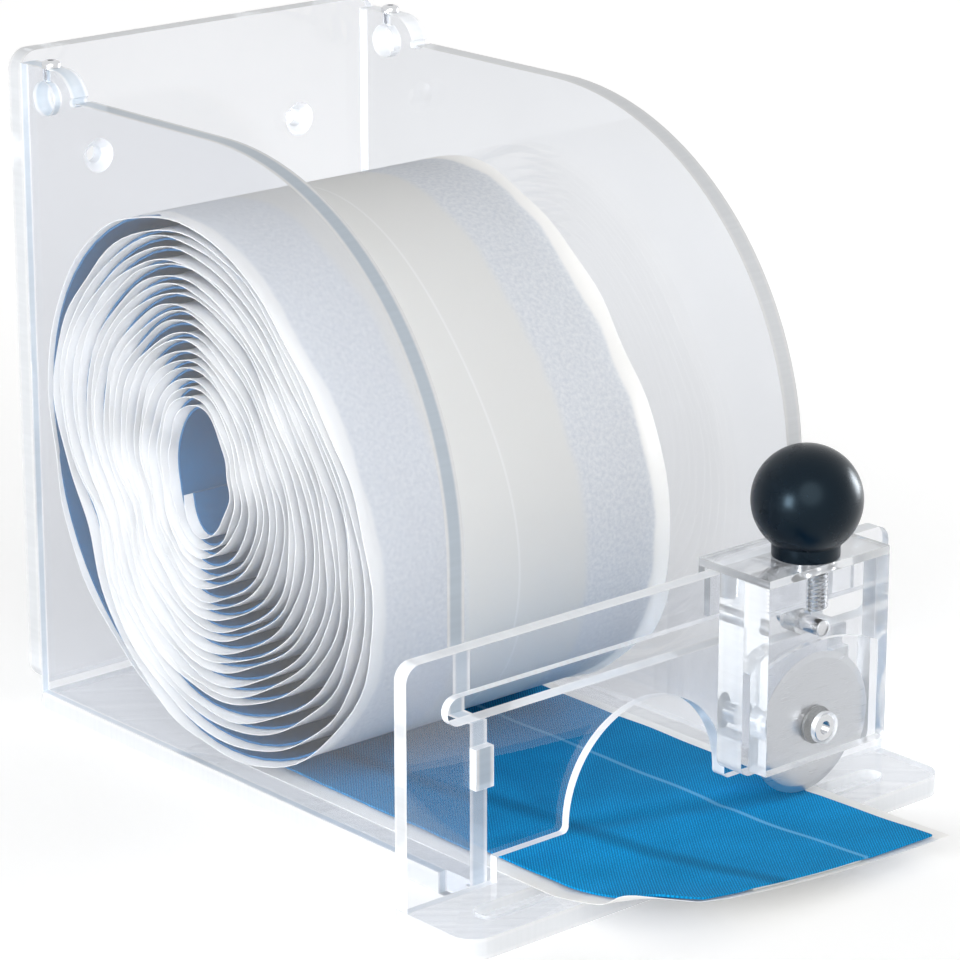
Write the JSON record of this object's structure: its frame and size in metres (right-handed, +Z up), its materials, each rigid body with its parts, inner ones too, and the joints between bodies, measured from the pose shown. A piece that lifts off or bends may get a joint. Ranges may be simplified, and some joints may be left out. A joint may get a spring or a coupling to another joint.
{
  "type": "plaster tape dispenser",
  "caption": "Clear open-topped tray for a wide plaster roll, with a front plate whose ball-handled carriage slides a round blade across the drawn strip.",
  "frame": {"origin": "on the surface that the base stands on, at the middle of the part's bounds from side to side and from the strip's front edge to the back face", "axes": "+X to the right seen from the front, +Y from the front to the back panel, +Z up"},
  "size_m": [0.15, 0.22, 0.1675],
  "materials": {
    "clear_sheet": "clear polished",
    "fabric": "matt twill",
    "paper": "satin release paper",
    "pad": "soft fleece",
    "steel": "satin",
    "blade_steel": "ground",
    "nylon": "translucent",
    "black_ball": "satin, finely grained",
    "brass": "turned"
  },
  "bodies": {
    "tray": {"base_plate": "clear_sheet", "back_panel": "clear_sheet", "side_panel_left": "clear_sheet", "side_panel_right": "clear_sheet", "front_plate": "clear_sheet", "ear_screws": "steel", "fabric_roll": "fabric", "liner_roll": "paper", "fabric_strip": "fabric", "pad_strip": "pad", "liner_strip": "paper"},
    "carriage": {"cutter_body": "clear_sheet", "cutter_cover": "clear_sheet", "saddle_top": "clear_sheet", "saddle_lip": "clear_sheet", "guide_pin": "steel", "guide_bush": "nylon", "blade_axle": "steel", "blade_washers": "nylon", "knob_stud": "steel", "knob_washer": "steel", "knob_insert": "brass", "ball_knob": "black_ball"},
    "cutting_disc": {"blade": "blade_steel"}
  },
  "joints": [
    {"name": "carriage_slide", "type": "slide", "parent": "tray", "child": "carriage", "axis": [1, 0, 0], "range_m": [-0.0979, 0.0219]},
    {"name": "blade_spin", "type": "hinge", "parent": "carriage", "child": "cutting_disc", "pos_m": [0.038, -0.06997, 0.02435], "axis": [0, 1, 0], "continuous": true}
  ]
}
